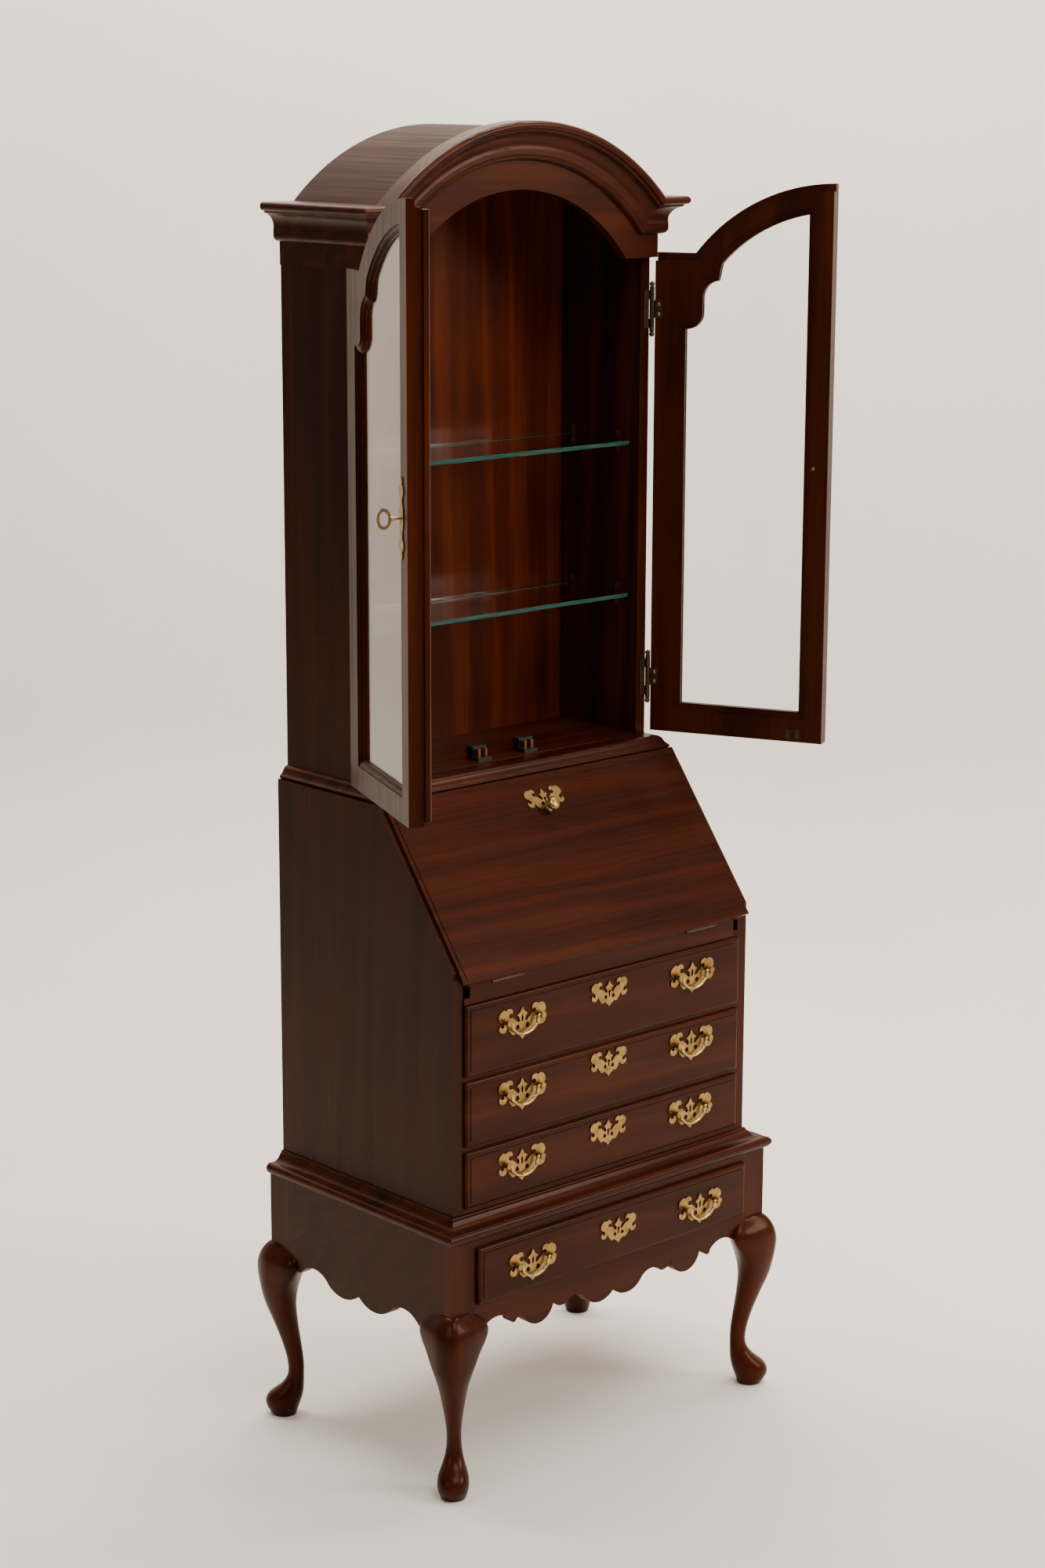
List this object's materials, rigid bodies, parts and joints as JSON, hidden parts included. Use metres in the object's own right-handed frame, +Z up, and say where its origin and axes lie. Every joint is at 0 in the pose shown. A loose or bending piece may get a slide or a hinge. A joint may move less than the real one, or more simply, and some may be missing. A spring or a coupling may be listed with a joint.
{
  "type": "secretary desk",
  "caption": "Slant-front writing desk on cabriole legs with pad feet, with lipped drawers, a hinged fall and an arched bookcase with glazed doors above.",
  "frame": {"origin": "on the floor, below the middle of the desk with its doors standing open", "axes": "+Z up, +X to the right as one sits at the desk, the front and the fall face -Y"},
  "size_m": [0.8393, 0.4639, 1.898],
  "materials": {
    "polished_wood": "polished",
    "plain_wood": "plain",
    "brass": "antique, softly polished",
    "dark_bronze": "aged",
    "clear_glass": "polished",
    "black_plastic": "matte"
  },
  "bodies": {
    "carcase": {"leg_front_left": "polished_wood", "leg_front_right": "polished_wood", "leg_back_left": "polished_wood", "leg_back_right": "polished_wood", "front_apron": "polished_wood", "side_and_back_aprons": "polished_wood", "stand_top_rail": "polished_wood", "stand_moulding": "polished_wood", "case_side_left": "polished_wood", "case_side_right": "polished_wood", "case_bottom_and_dust_boards": "polished_wood", "loper_rail": "polished_wood", "writing_board": "polished_wood", "case_top_and_bookcase_floor": "polished_wood", "gallery": "polished_wood", "bookcase_side_left": "polished_wood", "bookcase_side_right": "polished_wood", "bookcase_back": "polished_wood", "roof_vault": "polished_wood", "arch_fascia": "polished_wood", "crown_moulding": "polished_wood", "waist_moulding": "polished_wood", "drawer_runners": "plain_wood", "case_back": "plain_wood", "shelf_clips": "brass", "fixed_hinge_leaves": "dark_bronze", "glass_shelves": "clear_glass", "door_catches": "black_plastic"},
    "door_left_leaf": {"door_left": "polished_wood", "door_left_glass": "clear_glass", "door_left_brass": "brass", "door_left_leaves": "dark_bronze"},
    "door_key": {"key": "brass"},
    "door_right_leaf": {"door_right": "polished_wood", "door_right_glass": "clear_glass", "door_right_brass": "brass", "door_right_leaves": "dark_bronze"},
    "fall": {"fall_board": "polished_wood", "fall_brass": "brass", "fall_hinge_leaves": "dark_bronze"},
    "left_loper": {"loper_left": "polished_wood"},
    "right_loper": {"loper_right": "polished_wood"},
    "left_gallery_drawer": {"gallery_drawer_left": "polished_wood"},
    "right_gallery_drawer": {"gallery_drawer_right": "polished_wood"},
    "drawer_1_body": {"drawer_1": "polished_wood", "drawer_1_brass": "brass"},
    "drawer_1_left_bail": {"drawer_1_bail_left": "brass"},
    "drawer_1_right_bail": {"drawer_1_bail_right": "brass"},
    "drawer_2_body": {"drawer_2": "polished_wood", "drawer_2_brass": "brass"},
    "drawer_2_left_bail": {"drawer_2_bail_left": "brass"},
    "drawer_2_right_bail": {"drawer_2_bail_right": "brass"},
    "drawer_3_body": {"drawer_3": "polished_wood", "drawer_3_brass": "brass"},
    "drawer_3_left_bail": {"drawer_3_bail_left": "brass"},
    "drawer_3_right_bail": {"drawer_3_bail_right": "brass"},
    "stand_drawer_body": {"stand_drawer": "polished_wood", "stand_drawer_brass": "brass"},
    "stand_drawer_left_bail": {"stand_drawer_bail_left": "brass"},
    "stand_drawer_right_bail": {"stand_drawer_bail_right": "brass"}
  },
  "joints": [
    {"name": "door_left_hinge", "type": "hinge", "parent": "carcase", "child": "door_left_leaf", "pos_m": [-0.2738, 0.032, 1.35], "axis": [0, 0, -1], "range_deg": [-112.9, 15]},
    {"name": "door_right_hinge", "type": "hinge", "parent": "carcase", "child": "door_right_leaf", "pos_m": [0.2738, 0.032, 1.35], "axis": [0, 0, 1], "range_deg": [-115.3, 13]},
    {"name": "key_turn", "type": "hinge", "parent": "door_left_leaf", "child": "door_key", "pos_m": [-0.39386, -0.18927, 1.401], "axis": [-0.9212, 0.3891, 0], "range_deg": [0, 180]},
    {"name": "fall_hinge", "type": "hinge", "parent": "carcase", "child": "fall", "pos_m": [0, -0.17, 0.7396], "axis": [1, 0, 0], "range_deg": [0, 127.3]},
    {"name": "left_loper_slide", "type": "slide", "parent": "carcase", "child": "left_loper", "axis": [0, -1, 0], "range_m": [0, 0.2]},
    {"name": "right_loper_slide", "type": "slide", "parent": "carcase", "child": "right_loper", "axis": [0, -1, 0], "range_m": [0, 0.2]},
    {"name": "left_gallery_drawer_slide", "type": "slide", "parent": "carcase", "child": "left_gallery_drawer", "axis": [0, -1, 0], "range_m": [0, 0.12]},
    {"name": "right_gallery_drawer_slide", "type": "slide", "parent": "carcase", "child": "right_gallery_drawer", "axis": [0, -1, 0], "range_m": [0, 0.12]},
    {"name": "drawer_1_slide", "type": "slide", "parent": "carcase", "child": "drawer_1_body", "axis": [0, -1, 0], "range_m": [0, 0.28]},
    {"name": "drawer_1_left_bail_swing", "type": "hinge", "parent": "drawer_1_body", "child": "drawer_1_left_bail", "pos_m": [-0.168, -0.1816, 0.678], "axis": [-1, 0, 0], "range_deg": [0, 100]},
    {"name": "drawer_1_right_bail_swing", "type": "hinge", "parent": "drawer_1_body", "child": "drawer_1_right_bail", "pos_m": [0.168, -0.1816, 0.678], "axis": [-1, 0, 0], "range_deg": [0, 100]},
    {"name": "drawer_2_slide", "type": "slide", "parent": "carcase", "child": "drawer_2_body", "axis": [0, -1, 0], "range_m": [0, 0.28]},
    {"name": "drawer_2_left_bail_swing", "type": "hinge", "parent": "drawer_2_body", "child": "drawer_2_left_bail", "pos_m": [-0.168, -0.1816, 0.574], "axis": [-1, 0, 0], "range_deg": [0, 100]},
    {"name": "drawer_2_right_bail_swing", "type": "hinge", "parent": "drawer_2_body", "child": "drawer_2_right_bail", "pos_m": [0.168, -0.1816, 0.574], "axis": [-1, 0, 0], "range_deg": [0, 100]},
    {"name": "drawer_3_slide", "type": "slide", "parent": "carcase", "child": "drawer_3_body", "axis": [0, -1, 0], "range_m": [0, 0.28]},
    {"name": "drawer_3_left_bail_swing", "type": "hinge", "parent": "drawer_3_body", "child": "drawer_3_left_bail", "pos_m": [-0.168, -0.1816, 0.4695], "axis": [-1, 0, 0], "range_deg": [0, 100]},
    {"name": "drawer_3_right_bail_swing", "type": "hinge", "parent": "drawer_3_body", "child": "drawer_3_right_bail", "pos_m": [0.168, -0.1816, 0.4695], "axis": [-1, 0, 0], "range_deg": [0, 100]},
    {"name": "stand_drawer_slide", "type": "slide", "parent": "carcase", "child": "stand_drawer_body", "axis": [0, -1, 0], "range_m": [0, 0.28]},
    {"name": "stand_drawer_left_bail_swing", "type": "hinge", "parent": "stand_drawer_body", "child": "stand_drawer_left_bail", "pos_m": [-0.168, -0.2052, 0.3265], "axis": [-1, 0, 0], "range_deg": [0, 100]},
    {"name": "stand_drawer_right_bail_swing", "type": "hinge", "parent": "stand_drawer_body", "child": "stand_drawer_right_bail", "pos_m": [0.168, -0.2052, 0.3265], "axis": [-1, 0, 0], "range_deg": [0, 100]}
  ],
  "couplings": [
    {"joint": "left_loper_slide", "follows": "fall_hinge", "m_per_rad": 0.09},
    {"joint": "right_loper_slide", "follows": "fall_hinge", "m_per_rad": 0.09}
  ]
}
